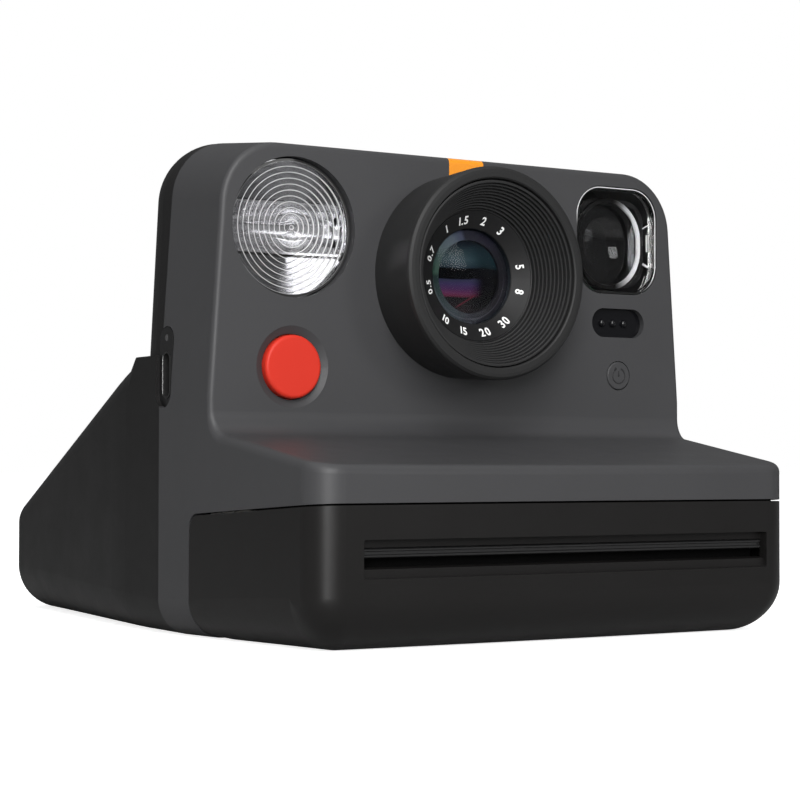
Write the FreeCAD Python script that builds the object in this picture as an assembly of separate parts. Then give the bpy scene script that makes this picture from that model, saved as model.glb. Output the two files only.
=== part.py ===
import FreeCAD, Part
import math, os

# Instant film camera, upright tower body with a low film nose.
# Frame: millimetres, origin at the middle of the base, +Z up, the lens faces -Y,
# +X is to the right of someone who looks at the lens.

V = FreeCAD.Vector
os.makedirs("parts", exist_ok=True)

# ---------------------------------------------------------------- driving dimensions
LEN = 150.2          # overall depth
HGT = 94.0           # overall height
HALF_W = 56.07       # widest half width, at the parting plane of the two casings
YN = -75.1           # front of the nose at the middle
BOW = 1.03           # the nose front is bowed this much in plan
YNC = YN + BOW       # nose front at the corners
YF = -38.6           # upright front face
YP = -20.2           # parting plane between front and rear casing
YT = -4.5            # upright back of the tower
YR = 75.1            # rear wall
DR_F = 0.0523        # narrowing towards the front, per mm
DR_T = 0.05          # narrowing of the tower's rear half, per mm
DR_R = 0.1268        # narrowing of the film bay towards the rear, per mm
R_PLAN = 97.5        # plan radius that joins the two
ZLEAN = 45.0         # the sides lean in above this height
LEAN = 0.068
Z_CREASE = 38.0      # shelf meets the front face
Z_SHELF = 31.9       # shelf height at the nose front
Z_TOPF = 91.7        # top of the front face
Z_KNEE = 52.6        # back slope meets the tower back
Z_REAR = 22.3        # back slope meets the rear wall
R_TOP = 12.0
R_BOT = 7.0          # bottom edges at the parting plane
R_BOT_E = 9.5       # bottom edges at the nose front and at the rear wall
R_NOSE = 6.0
WALL = 2.0
# film door
SEAM_F, SEAM_R = 25.3, 22.8      # door seam height at the nose front and at the door's rear edge
Y_DOOR = -31.65                  # rear edge of the door
GAP = 0.35                       # seam gap
HY, HZ = -34.4, 3.4              # door hinge axis
# lens
LZ = 68.5
R_RIM = 20.4
Y_RIM = -51.7
R_MOUTH = 18.0
# film path
Z_NIP = 15.5
R_ROLL = 3.82
Y_ROLL = -60.0
MOD = 0.5
SLOPE = (Z_KNEE - Z_REAR) / (YR - YT)
T5 = math.tan(math.radians(6.1))
SHELF_SL = (Z_CREASE - Z_SHELF) / (YF - YN)


# ---------------------------------------------------------------- helpers
A_T, A_R = math.atan(DR_T), math.atan(DR_R)
W_T = HALF_W - (YT - YP) * DR_T
YK = YT + R_PLAN * (math.sin(A_R) - math.sin(A_T))       # where the plan curve runs into the straight rear part
W_K = W_T - R_PLAN * (math.cos(A_T) - math.cos(A_R))


def W(y):
    """half width at depth y"""
    if y < YP:
        return HALF_W - (YP - y) * DR_F
    if y <= YT:
        return HALF_W - (y - YP) * DR_T
    if y <= YK:
        a = math.asin(math.sin(A_T) + (y - YT) / R_PLAN)
        return W_T - R_PLAN * (math.cos(A_T) - math.cos(a))
    return W_K - (y - YK) * DR_R


def r_bottom(y, t=0.0):
    """bottom edge radius, which grows from the parting plane to both ends"""
    k = (y - YP) / (YR - YP) if y > YP else (YP - y) / (YP - YNC)
    return R_BOT + (R_BOT_E - R_BOT) * max(0.0, min(1.0, k)) - t


def wz(y, z):
    return W(y) - LEAN * max(0.0, z - ZLEAN)


def box(x0, x1, y0, y1, z0, z1):
    return Part.makeBox(x1 - x0, y1 - y0, z1 - z0, V(x0, y0, z0))


def cyl(r, p, d, h):
    return Part.makeCylinder(r, h, V(*p), V(*d))


def cy(r, x, z, y0, y1):
    return Part.makeCylinder(r, y1 - y0, V(x, y0, z), V(0, 1, 0))


def cx(r, y, z, x0, x1):
    return Part.makeCylinder(r, x1 - x0, V(x0, y, z), V(1, 0, 0))


def prism_x(pts, x0, x1):
    w = Part.makePolygon([V(x0, y, z) for y, z in pts] + [V(x0, pts[0][0], pts[0][1])])
    return Part.Face(w).extrude(V(x1 - x0, 0, 0))


def prism_z(pts, z0, z1):
    w = Part.makePolygon([V(x, y, z0) for x, y in pts] + [V(pts[0][0], pts[0][1], z0)])
    return Part.Face(w).extrude(V(0, 0, z1 - z0))


def rrect_y(xc, zc, w, h, r, y0, y1):
    """rounded rectangle in XZ, extruded along Y"""
    b = box(xc - w / 2, xc + w / 2, y0, y1, zc - h / 2, zc + h / 2)
    e = [k for k in b.Edges if abs(k.Vertexes[0].Y - k.Vertexes[1].Y) > 1e-6]
    return b.makeFillet(min(r, w / 2 - 0.001, h / 2 - 0.001), e)


def rrect_x(yc, zc, w, h, r, x0, x1):
    b = box(x0, x1, yc - w / 2, yc + w / 2, zc - h / 2, zc + h / 2)
    e = [k for k in b.Edges if abs(k.Vertexes[0].X - k.Vertexes[1].X) > 1e-6]
    return b.makeFillet(min(r, w / 2 - 0.001, h / 2 - 0.001), e)


def rev_y(pts, x, z):
    """closed (radius, y) profile turned about the Y axis through x, z"""
    w = Part.makePolygon([V(x + r, y, z) for r, y in pts] + [V(x + pts[0][0], pts[0][1], z)])
    return Part.Face(w).revolve(V(x, 0, z), V(0, 1, 0), 360)


def hexa(p):
    f = []
    for q in ((3, 2, 1, 0), (4, 5, 6, 7), (0, 1, 5, 4), (1, 2, 6, 5), (2, 3, 7, 6), (3, 0, 4, 7)):
        c = [p[i] for i in q]
        f.append(Part.Face(Part.makePolygon(c + [c[0]])))
    s = Part.Solid(Part.Shell(f))
    if s.Volume < 0:
        s.reverse()
    return s


def drafted(ya, yb, z0, z1, t):
    def s(z):
        k = LEAN * max(0.0, z - ZLEAN) + t
        a, b = W(ya) - k, W(yb) - k
        return [V(-a, ya, z), V(a, ya, z), V(b, yb, z), V(-b, yb, z)]
    return hexa(s(z0) + s(z1))


def near(sh, pts, tol=2.5):
    out = []
    for p in pts:
        v = Part.Vertex(V(*p))
        best, bd = None, 1e9
        for e in sh.Edges:
            d = e.distToShape(v)[0]
            if d < bd:
                bd, best = d, e
        if bd < tol and not any(best.isSame(o) for o in out):
            out.append(best)
    return out


def mfillet(sh, groups):
    """several fillet radii at once: [(radius, [points on the edges])]"""
    doc = FreeCAD.newDocument()
    o = doc.addObject("Part::Feature", "b")
    o.Shape = sh
    f = doc.addObject("Part::Fillet", "f")
    f.Base = o
    rows, used = [], set()
    for r, pts in groups:
        for e in near(sh, pts):
            for i, k in enumerate(sh.Edges):
                if k.isSame(e) and i not in used:
                    used.add(i)
                    if callable(r):
                        rows.append((i + 1, r(k.valueAt(k.FirstParameter).y), r(k.valueAt(k.LastParameter).y)))
                    else:
                        rows.append((i + 1, r, r))
                    break
    f.Edges = rows
    doc.recompute()
    s = f.Shape.copy()
    FreeCAD.closeDocument(doc.Name)
    if s.isNull() or not s.isValid():
        raise RuntimeError("fillet failed")
    return s.Solids[0]


def try_fillet(sh, groups, label):
    try:
        return mfillet(sh, groups)
    except Exception:
        print("kept sharp:", label)
        return sh


def top_z(y, t=0.0):
    return Z_TOPF + (y - YF) * T5 - t


def slope_z(y, t=0.0):
    return Z_REAR + (YR - y) * SLOPE - t


def cut(a, *bs):
    for b in bs:
        a = a.cut(b)
    return a


def fuse(a, *bs):
    for b in bs:
        a = a.fuse(b)
    return a.removeSplitter()


NODES = {}


def out(name, sh):
    NODES[name] = sh


# ---------------------------------------------------------------- outer form, front half
def tower_front(t=0.0):
    y1 = YP
    s = drafted(YF + t, y1, ZLEAN if t == 0 else 30.0, 99, t)
    s = s.cut(prism_x([(-60, top_z(-60, t)), (0, top_z(0, t)), (0, 120), (-60, 120)], -80, 80))
    ym = -29.0
    zt = top_z(ym, t)
    w = wz(ym, zt) - t
    return s.makeFillet(R_TOP - t, near(s, [(w, ym, zt), (-w, ym, zt)]))


def nose(t=0.0):
    y1 = YP
    zf = Z_SHELF - t * 1.02 - 14.9 * SHELF_SL
    if t == 0:
        prof = [(-90, 0), (y1, 0), (y1, ZLEAN), (YF, ZLEAN), (YF, Z_CREASE), (-90, zf)]
    else:
        prof = [(-90, t), (y1, t), (y1, ZLEAN), (YF + t, ZLEAN), (YF + t, Z_CREASE - t + t * SHELF_SL), (-90, zf)]
    base = prism_x(prof, -70, 70)
    a, b = W(YNC) - t, W(YP) - t
    arc = Part.Arc(V(-a, YNC + t, -5), V(0, YN + t, -5), V(a, YNC + t, -5)).toShape()
    ln = [V(a, YNC + t, -5), V(b, YP, -5), V(-b, YP, -5), V(-a, YNC + t, -5)]
    w = Part.Wire([arc] + [Part.makeLine(ln[i], ln[i + 1]) for i in range(len(ln) - 1)])
    return base.common(Part.Face(w).extrude(V(0, 0, 100)))


def shelf_z(y):
    return Z_CREASE + (y - YF) * SHELF_SL


aN = W(YNC)
front_out = fuse(tower_front(), nose()).Solids[0]
front_out = mfillet(front_out, [(R_BOT_E, [(0, YN, 0)]), (r_bottom, [(W(-50), -50, 0), (-W(-50), -50, 0)]),
                                (R_NOSE, [(aN, YNC, 15), (-aN, YNC, 15)])])
wf = wz(YF, 60)
front_out = try_fillet(front_out, [
    (1.1, [(0, YF, Z_TOPF), (wf, YF, 60), (-wf, YF, 60), (W(YF), YF, 42), (-W(YF), YF, 42)]),
    (4.5, [(0, YF, Z_CREASE)]),
    (1.8, [(0, YN, shelf_z(YN)), (W(-60), -60, shelf_z(-60)), (-W(-60), -60, shelf_z(-60)),
           (aN - 1.5, YNC + 1.5, shelf_z(YNC)), (-aN + 1.5, YNC + 1.5, shelf_z(YNC))])], "front edges")


def front_inner(t):
    n = nose(t)
    a = W(YNC) - t
    n = mfillet(n, [(R_BOT_E - t, [(0, YN + t, t)]), (lambda y: r_bottom(y, t), [(W(-50) - t, -50, t), (-W(-50) + t, -50, t)]),
                    (R_NOSE - t, [(a, YNC + t, 15), (-a, YNC + t, 15)])])
    return n.fuse(tower_front(t))


front_in = front_inner(WALL)


# ---------------------------------------------------------------- outer form, rear half
def wedge(t=0.0):
    y0 = YP
    yr = YR - t
    zk = slope_z(YT) - t * 1.07
    if t == 0:
        prof = [(y0, 0), (yr, 0), (yr, slope_z(yr)), (YT, slope_z(YT)), (y0, slope_z(YT))]
    else:
        prof = [(y0, t), (yr, t), (yr, slope_z(yr) - t * 1.07), (YT, zk), (y0, zk)]
    base = prism_x(prof, -70, 70)
    a, b, c, d = W(YP) - t, W(yr) - t, W(YT) - t, W(YK) - t
    am = (A_T + A_R) / 2
    ym, m = YT + R_PLAN * (math.sin(am) - math.sin(A_T)), W_T - R_PLAN * (math.cos(A_T) - math.cos(am)) - t
    ed = []
    for s in (1, -1):
        ed += [Part.makeLine(V(s * a, y0, -5), V(s * c, YT, -5)), Part.Arc(V(s * c, YT, -5), V(s * m, ym, -5), V(s * d, YK, -5)).toShape(),
               Part.makeLine(V(s * d, YK, -5), V(s * b, yr, -5))]
    ed += [Part.makeLine(V(a, y0, -5), V(-a, y0, -5)), Part.makeLine(V(b, yr, -5), V(-b, yr, -5))]
    return base.common(Part.Face(Part.Wire(Part.__sortEdges__(ed))).extrude(V(0, 0, 105)))


def tower_rear(t=0.0):
    y0 = YP
    s = drafted(y0, YT - t, 30.0, 99, t)
    s = s.cut(prism_x([(-60, top_z(-60, t)), (30, top_z(30, t)), (30, 120), (-60, 120)], -80, 80))
    ym = -12.0
    zt = top_z(ym, t)
    w = wz(ym, zt) - t
    wb = wz(YT - t, 70) - t
    r = R_TOP - t
    return mfillet(s, [(r, [(w, ym, zt), (-w, ym, zt), (0, YT - t, top_z(YT - t, t)),
                            (wb, YT - t, 70), (-wb, YT - t, 70)])])


R_SLOPE = 6.0
R_REAR = 9.0         # upright rear corners
wd = wedge()
bR = W(YR)
ymid = 35.0
Y_SIDE = (-12.0, (YT + YK) / 2, ymid)      # one point on each stretch of the side edges
wd = mfillet(wd, [(r_bottom, [(s * W(y), y, 0) for y in Y_SIDE for s in (1, -1)]), (R_BOT_E, [(0, YR, 0)]),
                  (R_SLOPE, [(s * W(y), y, slope_z(y)) for y in Y_SIDE[1:] for s in (1, -1)]),
                  (R_REAR, [(bR, YR, 12), (-bR, YR, 12)]),
                  (4.0, [(0, YR, Z_REAR)])])
# the flat part ahead of the slope, inside the tower, keeps its square edges
rear_out = fuse(tower_rear(), wd).Solids[0]
rear_out = try_fillet(rear_out, [(5.0, [(0, YT, slope_z(YT))])], "back crease")


def rear_inner(t):
    n = wedge(t)
    b = W(YR - t) - t
    n = mfillet(n, [(lambda y: r_bottom(y, t), [(s * (W(y) - t), y, t) for y in Y_SIDE for s in (1, -1)]), (R_BOT_E - t, [(0, YR - t, t)]),
                    (R_SLOPE - t, [(s * (W(y) - t), y, slope_z(y) - t * 1.07) for y in Y_SIDE[1:] for s in (1, -1)]),
                    (R_REAR - t, [(b, YR - t, 12), (-b, YR - t, 12)])])
    return n.fuse(tower_rear(t))


rear_in = rear_inner(WALL)


# ---------------------------------------------------------------- film door
def door_prism(g):
    """side outline of the door, grown by g at its seam"""
    sl = (SEAM_F - SEAM_R) / (Y_DOOR - YN)
    yb = Y_DOOR + g
    z_at = lambda y: SEAM_R + (Y_DOOR - y) * sl + g
    rr = (Y_DOOR - HY) + g
    if g == 0:
        pts, a0 = [(-90, -3), (-37.5, -3), (-37.5, 0.0)], -62.0
    else:
        pts, a0 = [(-90, -3), (Y_DOOR + 0.75, -3), (Y_DOOR + 0.75, 1.0)], -14.0
    for k in range(0, 7):
        a = math.radians(a0 - a0 * k / 6.0)
        pts.append((HY + rr * math.cos(a), HZ + rr * math.sin(a)))
    rc = 3.0
    zc = z_at(yb) - rc
    for k in range(0, 7):
        a = math.radians(k * 15)
        pts.append((yb - rc + rc * math.cos(a), zc + rc * math.sin(a)))
    pts.append((-90, z_at(-90)))
    return prism_x(pts, -80, 80)


# between the hinges the casing's floor reaches forward as a tongue, under the mouth of the film bay
tongue = box(-46.8, 46.8, -35.9, -25, -5, WALL)
front_shell = front_out.cut(front_in).cut(door_prism(GAP).cut(tongue))
door = front_out.common(door_prism(0.0)).cut(front_in)
door = door.cut(box(-47.15, 47.15, -38.0, -30, -1, 6))

# recess and slot where the film comes out
SX0, SX1 = -44.3, 46.8
sxc, sxw = (SX0 + SX1) / 2, SX1 - SX0
door = door.cut(rrect_y(sxc, 15.95, sxw, 6.7, 0.4, -80, -71.5))
# lips inside the recess: upper lip with a step, lower lip
lip_low = prism_x([(-73.35, 12.3), (-71.0, 12.3), (-71.0, 14.5), (-73.35, 14.2)], SX0 - 0.4, SX1 + 0.4)
lip_up = prism_x([(-72.6, 19.6), (-71.0, 19.6), (-71.0, 17.9), (-72.6, 17.9)], SX0 - 0.4, SX1 + 0.4)
door = door.fuse(lip_low).fuse(lip_up)
# hinge knuckles with a web down to the floor of the door
PIN_R = 1.2
for s in (-1, 1):
    xa, xb = (47.3, 50.4) if s > 0 else (-50.4, -47.3)
    k = cx(2.25, HY, HZ, xa, xb).fuse(prism_x([(HY, HZ - 1.5), (HY, HZ + 2.2), (-38.6, 3.6), (-38.6, 0.9), (HY - 0.6, 1.0)], xa, xb))
    door = door.fuse(k.common(front_out))
    door = door.cut(cx(PIN_R + 0.05, HY, HZ, xa - 0.5, xb + 0.3))
door = door.removeSplitter()

# ---------------------------------------------------------------- cuts in the front casing
FLX, FLZ, FLR = -37.3, 76.2, 13.17
BTX, BTZ, BTR = -37.7, 50.2, 6.17
VFX, VFZ, VFW, VFH, VFRC = 38.8, 77.9, 20.8, 22.0, 6.2
PLX, PLZ, PLW, PLH = 39.0, 61.0, 13.4, 5.9
TMX, TMZ, TMR = 39.0, 50.25, 3.0
USY, USZ = -21.7, 50.3

front_shell = cut(front_shell,
                  cy(FLR, FLX, FLZ, -40, -36.0),
                  cy(BTR, BTX, BTZ, -40, -36.0),
                  rrect_y(VFX, VFZ, VFW, VFH, VFRC, -40, -36.0),
                  rrect_y(PLX, PLZ, PLW, PLH, PLH / 2, -40, -36.0),
                  cy(TMR, TMX, TMZ, -40, -36.0),
                  cy(19.3, 0, LZ, -40, -36.0))
# dished ring round the release button
front_shell = front_shell.cut(rev_y([(0, YF - 0.1), (BTR + 1.5, YF - 0.1), (BTR + 1.5, YF), (BTR, YF + 0.75), (0, YF + 0.75)], BTX, BTZ))
usb_cut = rrect_x(USY, USZ, 5.8, 15.4, 2.9, -60, -50)
front_shell = front_shell.cut(usb_cut)
# latch window in the right side
LTY, LTZ = -26.0, 27.0
front_shell = front_shell.cut(rrect_x(LTY, LTZ, 5.2, 13.6, 2.4, 52, 60))

# accent inlay above the lens, wrapping over the top edge
st_region = box(-2.7, 5.4, -45, -26.0, 88.2, 100)
st_skin = front_out.cut(front_inner(0.4))
accent = st_region.common(st_skin)
front_shell = front_shell.cut(st_region.common(st_skin))
out("accent_stripe", accent.Solids[0])

# ---------------------------------------------------------------- rear casing
EYX, EYZ = 35.2, 76.5
PWX, PWZ = -33.5, 70.0
FBX, FBZ = -16.5, 70.0
CNX, CNZ = 4.0, 70.0
rear_shell = rear_out.cut(rear_in)
rear_shell = cut(rear_shell, usb_cut,
                 rrect_y(EYX, EYZ, 13.0, 13.0, 3.6, -8, 0),
                 cy(5.2, PWX, PWZ, -8, 0), cy(3.7, FBX, FBZ, -8, 0),
                 rrect_y(CNX, CNZ, 11.0, 7.0, 1.6, -8, 0))
rear_shell = rear_shell.removeSplitter()
out("front_shell", front_shell.removeSplitter().Solids[0])
out("film_door", door.Solids[0])

# ---------------------------------------------------------------- film chamber and dark chamber
CH_Z0, CH_Z1 = 18.2, 19.2
chamber = prism_z([(-46.9, -30.5), (46.9, -30.5), (46.9, 42), (46.1, 50), (44.1, 66), (-44.1, 66), (-46.1, 50), (-46.9, 42)], CH_Z0, CH_Z1)
chamber = chamber.cut(box(-39.2, 39.2, -18, 58, 17, 21))
for s in (-1, 1):
    xa, xb = (45.9, 46.9) if s > 0 else (-46.9, -45.9)
    side = prism_x([(-36.6, 1.9), (-33.0, 1.9), (-29.0, 6.0), (50, 6.0), (50, CH_Z0), (-30.5, CH_Z0), (-30.5, 7.5), (-36.6, 5.4)], xa, xb)
    side = side.common(front_in.fuse(rear_in))
    chamber = chamber.fuse(side)
    chamber = chamber.cut(cx(PIN_R, HY, HZ, xa - 1, xb + 1))
chamber = chamber.removeSplitter()
chamber = chamber.cut(box(39.8, 43.2, 52.0, 65.0, 17, 21))     # slot for the film pick
out("film_chamber", chamber.Solids[0])
pins = Part.makeCompound([cx(PIN_R, HY, HZ, 45.9, 50.6), cx(PIN_R, HY, HZ, -50.6, -45.9)])
out("hinge_pins", pins)

# the dark chamber stands on the film chamber
def dark(t):
    zb = CH_Z1 + 0.02 - (2.0 if t else 0)
    low = prism_x([(-19.5 + t, zb), (59.0 - t, zb), (59.0 - t, slope_z(59.0 - t) - 3.2 - t * 1.07),
                   (-7.0 - t, slope_z(-7.0 - t) - 3.2 - t * 1.07), (-19.5 + t, slope_z(-7.0 - t) - 3.2 - t * 1.07)], -40.0 + t, 40.0 - t)
    up = box(-18.0 + t, 18.0 - t, -19.5 + t, -12.0 - t, 40.0, 82.0 - t)
    return low.fuse(up).removeSplitter()


dk = dark(0).cut(dark(1.2)).cut(cy(9.0, 0, LZ, -21, -18)).removeSplitter()
out("dark_chamber", dk.Solids[0])
m0, m1 = 4.0, 54.0
mo = 3.2 + 1.2 * 1.07 + 0.1
mirror = prism_x([(m0, slope_z(m0) - mo - 1.5), (m1, slope_z(m1) - mo - 1.5), (m1, slope_z(m1) - mo), (m0, slope_z(m0) - mo)], -37, 37)
out("mirror", mirror)

# film pick: a thin steel slider that pushes the film out of its pack
pick = box(41.3, 42.8, 2.0, 63.0, CH_Z1 + 0.3, CH_Z1 + 1.1).fuse(box(40.2, 42.8, 60.0, 63.0, CH_Z1 + 0.3, CH_Z1 + 1.1)).fuse(box(40.2, 42.8, 62.2, 63.0, 16.6, CH_Z1 + 1.1)).removeSplitter()
out("film_pick", pick)

# ---------------------------------------------------------------- gears and rollers
def gear(y, z, n, phase, x0, x1, bore, thin=0.0):
    """spur gear about an X axis; phase is the angle of one tooth in the YZ plane"""
    p = math.pi * MOD
    r = n * MOD / 2.0
    ro, rf = r + 0.72 * MOD, r - 1.05 * MOD
    hb = 0.62 * MOD
    wt, wp, wb = 0.30 * MOD, 0.64 * MOD, hb * 1.75   # tooth widths at the tip, the pitch line and the root
    pts = []
    for k in range(n):
        a = phase + 2 * math.pi * k / n
        for rad, half, sgn in ((rf, wb / 2, -1), (r, wp / 2, -1), (ro, wt / 2, -1), (ro, wt / 2, 1), (r, wp / 2, 1), (rf, wb / 2, 1)):
            b = a + sgn * half / rad
            pts.append((y + rad * math.cos(b), z + rad * math.sin(b)))
    g = prism_x(pts, x0, x1)
    return g.cut(cx(bore, y, z, x0 - 1, x1 + 1)) if bore else g


GX0, GX1 = -51.0, -49.2
Z_LO, Z_UP = Z_NIP - 4.0, Z_NIP + 4.0
N_ROLL, N_DRV, N_IDL, N_PIN = 16, 16, 40, 10
AD = math.radians(50.0)      # the drive gear sits above the upper roller's gear, so the door swings clear of it
DRV = (Y_ROLL + 8.0 * math.cos(AD), Z_UP + 8.0 * math.sin(AD))
AI = math.radians(-13.6)
IDL = (DRV[0] + 14.0 * math.cos(AI), DRV[1] + 14.0 * math.sin(AI))
AM = math.radians(40.0)
PNN = (IDL[0] + 12.5 * math.cos(AM), IDL[1] + 12.5 * math.sin(AM))


def mate(ca, na, pa, cb, nb):
    al = math.atan2(cb[1] - ca[1], cb[0] - ca[0])
    ra, rb = na * MOD / 2, nb * MOD / 2
    return al + math.pi - (ra * (pa - al) + math.pi * MOD / 2) / rb


ph_lo = 0.0
ph_up = mate((Y_ROLL, Z_LO), N_ROLL, ph_lo, (Y_ROLL, Z_UP), N_ROLL)
ph_dr = mate((Y_ROLL, Z_UP), N_ROLL, ph_up, DRV, N_DRV)
ph_id = mate(DRV, N_DRV, ph_dr, IDL, N_IDL)
ph_pn = mate(IDL, N_IDL, ph_id, PNN, N_PIN)

SH_R = 1.5
XB0, XB1 = 45.0, 48.4


def roller(z):
    s = cx(R_ROLL, Y_ROLL, z, -43.6, 43.6)
    s = s.makeChamfer(0.4, [e for e in s.Edges if e.Curve.TypeId == "Part::GeomCircle"])
    return s.fuse(cx(SH_R, Y_ROLL, z, -51.3, 49.0)).removeSplitter()


out("lower_roller", roller(Z_LO))
out("upper_roller", roller(Z_UP))
out("lower_roller_gear", gear(Y_ROLL, Z_LO, N_ROLL, ph_lo, GX0, GX1, SH_R))
out("upper_roller_gear", gear(Y_ROLL, Z_UP, N_ROLL, ph_up, GX0, GX1, SH_R))
bearings = []
for xa, xb in ((XB0, XB1), (-XB1, -XB0)):
    b = prism_x([(-65.0, 2.02), (-55.4, 2.02), (-55.4, 21.6), (-56.7, 22.9), (-63.5, 22.9), (-65.0, 21.6)], xa, xb)
    b = b.common(front_in)
    b = cut(b, cx(SH_R + 0.05, Y_ROLL, Z_LO, xa - 1, xb + 1), cx(SH_R + 0.05, Y_ROLL, Z_UP, xa - 1, xb + 1))
    bearings.append(b.Solids[0])
out("roller_bearings", Part.makeCompound(bearings))
DR_BORE = 1.2
out("drive_gear", gear(DRV[0], DRV[1], N_DRV, ph_dr, GX0, GX1, DR_BORE + 0.04))
idl = gear(IDL[0], IDL[1], N_IDL, ph_id, GX0, GX1, DR_BORE + 0.04)
out("idler_gear", idl)
pn = gear(PNN[0], PNN[1], N_PIN, ph_pn, GX0, GX1, 0).fuse(cx(0.8, PNN[0], PNN[1], -51.2, -30.0)).removeSplitter()
out("motor_pinion", pn)
PLX0, PLX1 = -48.7, -47.7
plate = prism_x([(-57.6, 23.4), (-54.2, 23.4), (-47.0, 19.6), (-38.5, 17.6), (-29.0, 20.5), (-24.6, 26.0), (-24.6, 35.4), (-37.5, 35.4), (-50.0, 33.2), (-57.6, 30.6)], PLX0, PLX1)
plate = cut(plate, cx(1.6, PNN[0], PNN[1], -49, -47), cx(DR_BORE, DRV[0], DRV[1], -50, -46), cx(DR_BORE, IDL[0], IDL[1], -50, -46))
out("gear_plate", plate)
motor = cx(6.0, PNN[0], PNN[1], -47.4, -26.0)
motor = motor.common(box(-48, -25, PNN[0] - 7, PNN[0] + 7, PNN[1] - 5.2, PNN[1] + 5.2))
motor = cut(motor, cx(0.87, PNN[0], PNN[1], -48, -29.8))
out("drive_motor", motor)

# ---------------------------------------------------------------- film shield: roll and front bar on the door
roll_y, roll_z = -68.6, 8.2
shield = cx(3.0, roll_y, roll_z, -42.5, 42.5).cut(cx(2.2, roll_y, roll_z, -43, 43))
bar = prism_x([(-73.2, 16.3), (-72.9, 16.1), (-70.4, 16.1), (-70.4, 17.8), (-72.9, 17.8), (-73.2, 17.6), (-73.2, 17.35), (-72.9, 17.2), (-72.9, 16.75), (-73.2, 16.6)],
              SX0 + 0.6, SX1 - 0.6)
out("film_shield", Part.makeCompound([shield, bar]))

# ---------------------------------------------------------------- latch on the right side
hook = fuse(rrect_x(LTY, LTZ, 4.4, 8.0, 2.0, 54.6, 55.3),
            box(52.0, 54.8, LTY - 1.4, LTY + 1.4, LTZ - 3.0, LTZ + 3.0),
            box(51.6, 53.0, LTY - 1.9, LTY + 1.9, LTZ - 6.0, LTZ + 4.2),
            box(51.6, 52.8, -43.6, LTY + 1.0, LTZ - 6.0, LTZ - 3.2),
            box(51.6, 52.8, -43.6, -41.3, 16.6, LTZ - 3.2))
for k in range(3):
    hook = hook.cut(box(55.1, 56, LTY - 3, LTY + 3, LTZ - 1.9 + 1.5 * k, LTZ - 1.3 + 1.5 * k))
out("door_latch", hook.removeSplitter().Solids[0])

# ---------------------------------------------------------------- lens group
barrel = rev_y([(19.25, -36.7), (19.25, -38.6), (19.7, -38.62), (20.15, -46.0), (20.4, -50.6), (20.25, -51.2), (19.8, -51.6), (19.2, -51.7),
                (18.3, -51.7), (18.05, -51.45), (18.0, -50.6), (18.0, -42.2), (10.7, -42.2), (10.7, -40.6), (17.0, -40.6), (17.0, -36.7)], 0, LZ)
out("lens_barrel", barrel)
# ribbed cone
pr = [(17.75, -42.3), (17.75, -51.0), (17.45, -51.05)]
n_r = 10
for k in range(n_r):
    r0 = 17.45 - k * (17.45 - 12.8) / n_r
    r1 = 17.45 - (k + 1) * (17.45 - 12.8) / n_r
    y0 = -51.05 + k * 6.5 / n_r
    y1 = -51.05 + (k + 1) * 6.5 / n_r
    pr += [(r0 - 0.20, y0 + 0.03), (r0 - 0.23, y1 + 0.09), (r1, y1)]
pr += [(12.7, -44.5), (12.7, -42.3)]
out("lens_ribbed_ring", rev_y(pr, 0, LZ))
out("lens_scale_ring", rev_y([(12.6, -42.3), (12.6, -44.45), (9.4, -42.65), (9.25, -42.5), (9.25, -42.3)], 0, LZ))
cell = rev_y([(10.6, -42.2), (9.35, -42.2), (9.35, -40.75), (7.05, -41.22), (7.05, -35.6), (10.4, -35.6), (10.4, -40.2), (10.6, -40.2)], 0, LZ)
out("lens_cell", cell)


def lens_disc(r, yf, yb, rf, rb):
    """disc on the lens axis; front edge yf, back edge yb, sags from the radii; a negative rb makes the back hollow"""
    def sag(R_, q):
        return math.copysign(abs(R_) - math.sqrt(R_ * R_ - q * q), R_)
    sf, sb = sag(rf, r), sag(rb, r)
    a = Part.Arc(V(0, yf - sf, LZ), V(r * 0.5, yf - sf + sag(rf, r / 2), LZ), V(r, yf, LZ)).toShape()
    c = Part.Arc(V(r, yb, LZ), V(r * 0.5, yb + sb - sag(rb, r / 2), LZ), V(0, yb + sb, LZ)).toShape()
    w = Part.Wire([a, Part.makeLine(V(r, yf, LZ), V(r, yb, LZ)), c, Part.makeLine(V(0, yb + sb, LZ), V(0, yf - sf, LZ))])
    return Part.Face(w).revolve(V(0, 0, LZ), V(0, 1, 0), 360)


out("lens_front_element", lens_disc(9.2, -41.6, -40.9, 30.0, -37.4))
out("lens_rear_element", lens_disc(6.95, -40.7, -39.7, 20.0, 24.0))
mp = rrect_y(0, LZ, 44.0, 41.6, 4.0, -35.5, -34.4)
mp = mp.cut(cy(7.2, 0, LZ, -37, -33))
out("lens_mount_plate", mp)
SEL = (10.0, LZ)
sel = cy(15.0, SEL[0], SEL[1], -33.6, -32.4)
sel = sel.cut(cy(1.25, SEL[0], SEL[1], -35, -31))
for a in (180.0, 240.0, 120.0):
    ax, az = SEL[0] + 10 * math.cos(math.radians(a)), SEL[1] + 10 * math.sin(math.radians(a))
    sel = sel.cut(cy(4.2, ax, az, -35, -31))
out("lens_selector", Part.makeCompound([sel] + [cy(4.15, SEL[0] + 10 * math.cos(math.radians(a)), SEL[1] + 10 * math.sin(math.radians(a)), -33.4, -32.6) for a in (180.0, 240.0, 120.0)]))
sh = box(-20, 20, -31.5, -26.4, 49.0, 88.0).cut(box(-18.6, 18.6, -30.7, -27.2, 50.4, 86.6))
sh = sh.cut(cy(5.0, 0, LZ, -32, -26))
out("shutter_housing", sh)
BLY = (-30.2, -29.2)
BLP = ((-11.0, 82.0), (11.0, 82.0))
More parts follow.
